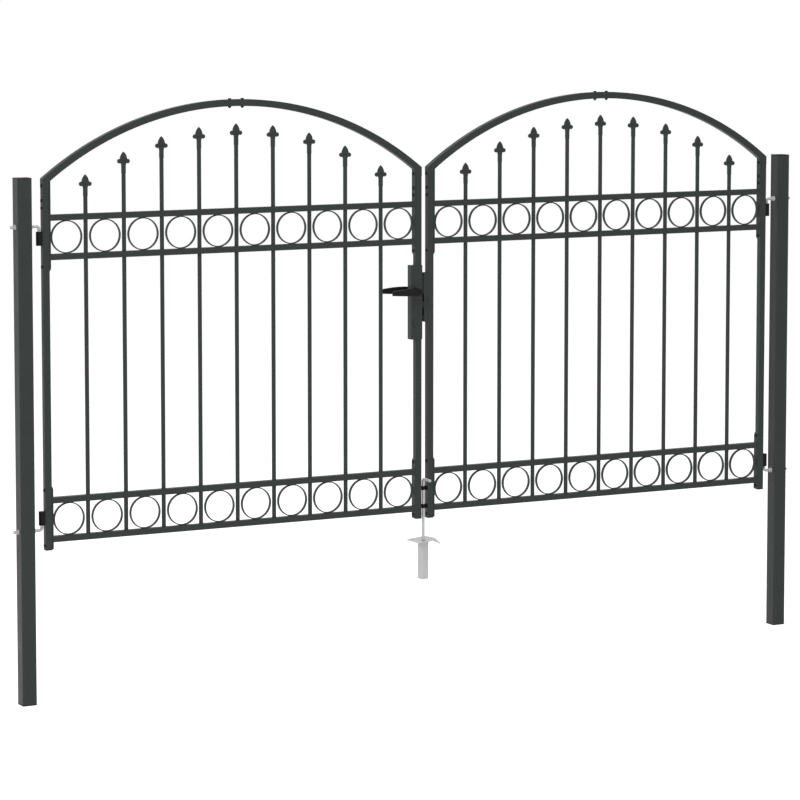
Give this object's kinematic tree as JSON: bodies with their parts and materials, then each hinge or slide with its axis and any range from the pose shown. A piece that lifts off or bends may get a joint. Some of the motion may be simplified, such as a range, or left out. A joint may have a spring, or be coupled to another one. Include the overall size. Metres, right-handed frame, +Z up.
{
  "type": "steel double-leaf fence gate with two posts",
  "caption": "Double-leaf steel garden gate with arched tops, ring bands, spear-headed bars, lever lock, drop bolt and its two square posts.",
  "frame": {"origin": "middle of the left post's foot, on the flat underside of its cap", "axes": "+X along the gate from the left post to the right post, +Y to the back, +Z up"},
  "size_m": [3.054, 0.1375, 1.9965],
  "materials": {
    "frame_coat": "satin anthracite powder coat",
    "black_plastic": "matt black plastic",
    "black_steel": "satin black coat",
    "zinc": "dull galvanized zinc",
    "bare_steel": "brushed steel"
  },
  "bodies": {
    "posts": {"left_post": "frame_coat", "right_post": "frame_coat", "post_top_caps": "black_plastic", "post_foot_caps": "black_plastic", "hinge_hooks": "zinc", "hinge_nuts": "zinc", "hinge_washers": "zinc", "ground_anchor": "zinc"},
    "left_leaf": {"left_hinge_stile": "frame_coat", "left_latch_stile": "frame_coat", "left_arch_hinge_half": "frame_coat", "left_arch_lock_half": "frame_coat", "left_arch_joiner": "frame_coat", "left_leaf_bolts": "black_steel", "left_end_plates": "frame_coat", "left_rails": "frame_coat", "left_balusters": "frame_coat", "left_spear_heads": "frame_coat", "left_rings": "frame_coat", "left_foot_plugs": "black_plastic", "left_hinge_barrels": "black_steel", "lock_case": "frame_coat", "lock_forend": "frame_coat", "lock_bolts": "bare_steel", "lock_cylinder": "frame_coat", "lock_roses": "black_plastic"},
    "right_leaf": {"right_hinge_stile": "frame_coat", "right_latch_stile": "frame_coat", "right_arch_hinge_half": "frame_coat", "right_arch_lock_half": "frame_coat", "right_arch_joiner": "frame_coat", "right_leaf_bolts": "black_steel", "right_end_plates": "frame_coat", "right_rails": "frame_coat", "right_balusters": "frame_coat", "right_spear_heads": "frame_coat", "right_rings": "frame_coat", "right_foot_plugs": "black_plastic", "right_hinge_barrels": "black_steel", "lock_strike": "frame_coat", "drop_bolt_guides": "black_steel"},
    "levers": {"front_lever": "black_plastic", "rear_lever": "black_plastic", "lever_spindle": "zinc"},
    "drop_bolt": {"drop_bolt": "zinc"}
  },
  "joints": [
    {"name": "left_leaf_swing", "type": "hinge", "parent": "posts", "child": "left_leaf", "pos_m": [0.0569, 0, 1], "axis": [0, 0, 1], "range_deg": [-90, 90]},
    {"name": "right_leaf_swing", "type": "hinge", "parent": "posts", "child": "right_leaf", "pos_m": [2.9131, 0, 1], "axis": [0, 0, 1], "range_deg": [-90, 90]},
    {"name": "lever_turn", "type": "hinge", "parent": "left_leaf", "child": "levers", "pos_m": [1.447, 0, 1.313], "axis": [0, -1, 0], "range_deg": [0, 45], "stiffness_Nm_per_rad": 1.5, "springref_deg": -17.19},
    {"name": "drop_bolt_slide", "type": "slide", "parent": "right_leaf", "child": "drop_bolt", "axis": [0, 0, 1], "range_m": [-0.014, 0.08]}
  ]
}
